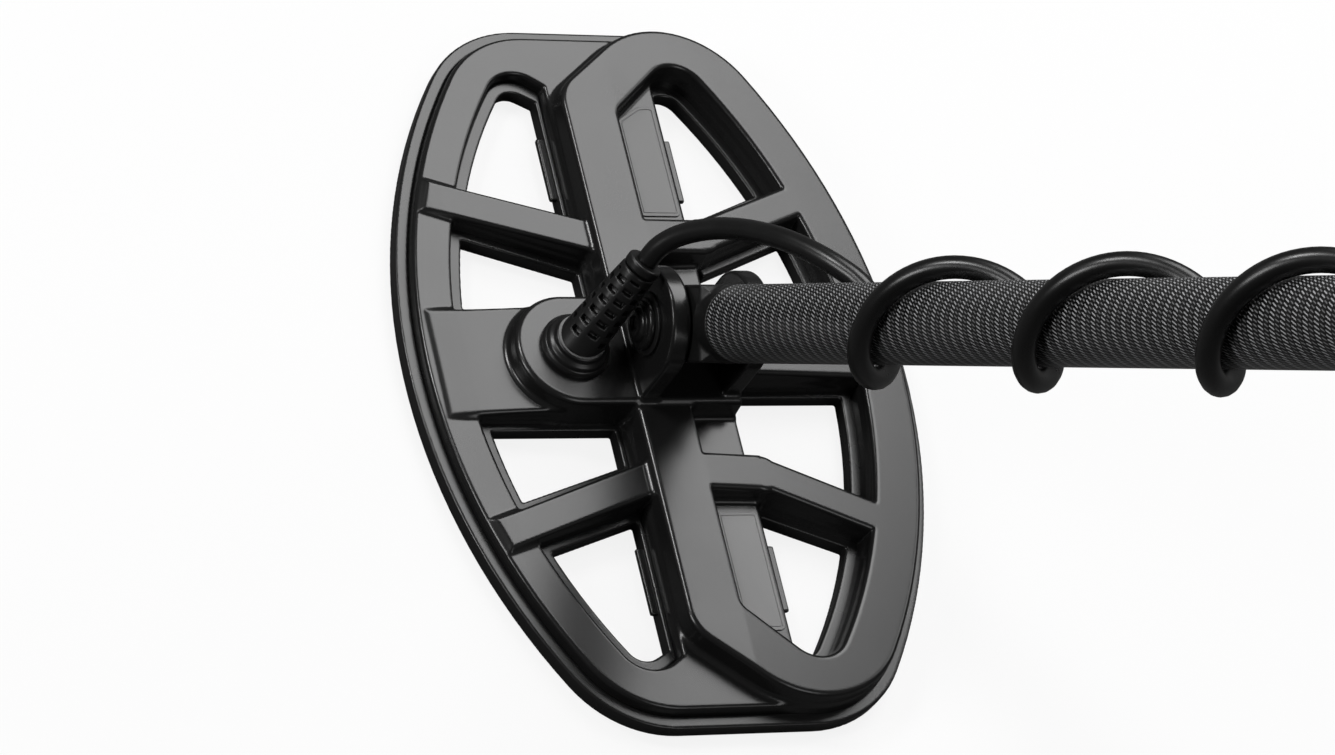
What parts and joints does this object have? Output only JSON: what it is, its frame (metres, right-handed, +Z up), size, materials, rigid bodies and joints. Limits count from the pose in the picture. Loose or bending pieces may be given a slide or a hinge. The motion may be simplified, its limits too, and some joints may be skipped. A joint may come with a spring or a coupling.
{
  "type": "metal detector search coil and lower shaft",
  "caption": "Elliptical double-D search coil with open windows and skid cover, tilting on a clamped pivot under a carbon tube shaft wrapped by its cable.",
  "frame": {"origin": "centre of the skid cover's underside, on the ground", "axes": "+X towards the coil's toe, +Y towards the cable gland, +Z up, away from the ground"},
  "size_m": [0.3759, 0.1548, 0.4849],
  "materials": {
    "skid_plastic": "satin",
    "coil_plastic": "satin, fine moulded grain",
    "base_plastic": "matt",
    "copper_wire": "enamelled copper wire",
    "circuit_board": "solder mask",
    "board_components": "moulded epoxy",
    "label_dark": "satin film",
    "label_grey": "satin film",
    "gland_plastic": "satin",
    "boot_rubber": "satin",
    "cable_rubber": "semi-gloss jacket",
    "washer_rubber": "matt",
    "nylon_black": "satin",
    "yoke_plastic": "satin",
    "carbon_fibre": "woven twill under clear resin",
    "plug_plastic": "matt",
    "button_steel": "polished",
    "spring_steel": "plain",
    "connector_plastic": "satin",
    "insert_plastic": "matt",
    "contact_gold": "plated",
    "strap_fabric": "woven hook-and-loop tape"
  },
  "bodies": {
    "coil": {"skid_cover": "skid_plastic", "base_plate": "base_plastic", "lower_housing": "coil_plastic", "raised_housing": "coil_plastic", "lower_bars": "coil_plastic", "transmit_winding": "copper_wire", "receive_winding": "copper_wire", "pivot_bracket": "coil_plastic", "preamp_board": "circuit_board", "board_parts": "board_components", "front_label_plate": "label_dark", "rear_label_plate": "label_grey", "cable_gland": "gland_plastic", "strain_relief": "boot_rubber", "friction_washers": "washer_rubber", "pivot_bolt": "nylon_black", "bolt_washers": "nylon_black", "cable_arch": "cable_rubber"},
    "shaft": {"yoke": "yoke_plastic", "carbon_tube": "carbon_fibre", "cable_wraps": "cable_rubber", "cable_stow": "cable_rubber", "cable_tail": "cable_rubber", "tube_plug": "plug_plastic", "button_spring": "spring_steel", "connector_shell": "connector_plastic", "connector_insert": "insert_plastic", "connector_pins": "contact_gold", "connector_strap": "strap_fabric"},
    "nut": {"pivot_nut": "nylon_black"},
    "button": {"snap_button": "button_steel"},
    "lock_ring": {"connector_ring": "connector_plastic"}
  },
  "joints": [
    {"name": "coil_tilt", "type": "hinge", "parent": "coil", "child": "shaft", "pos_m": [0, 0, 0.031], "axis": [0, 1, 0], "range_deg": [-50, 105], "deforming": ["cable_arch"]},
    {"name": "nut_turn", "type": "hinge", "parent": "coil", "child": "nut", "pos_m": [0, -0.02, 0.031], "axis": [0, -1, 0], "continuous": true},
    {"name": "button_press", "type": "slide", "parent": "shaft", "child": "button", "axis": [-0.8686, 0, -0.4955], "range_m": [0, 0.0036], "stiffness_N_per_m": 600, "springref_m": -0.003, "deforming": ["button_spring"]},
    {"name": "lock_ring_turn", "type": "hinge", "parent": "shaft", "child": "lock_ring", "pos_m": [-0.23513, 0, 0.40458], "axis": [-0.4955, 0, 0.8686], "continuous": true}
  ]
}
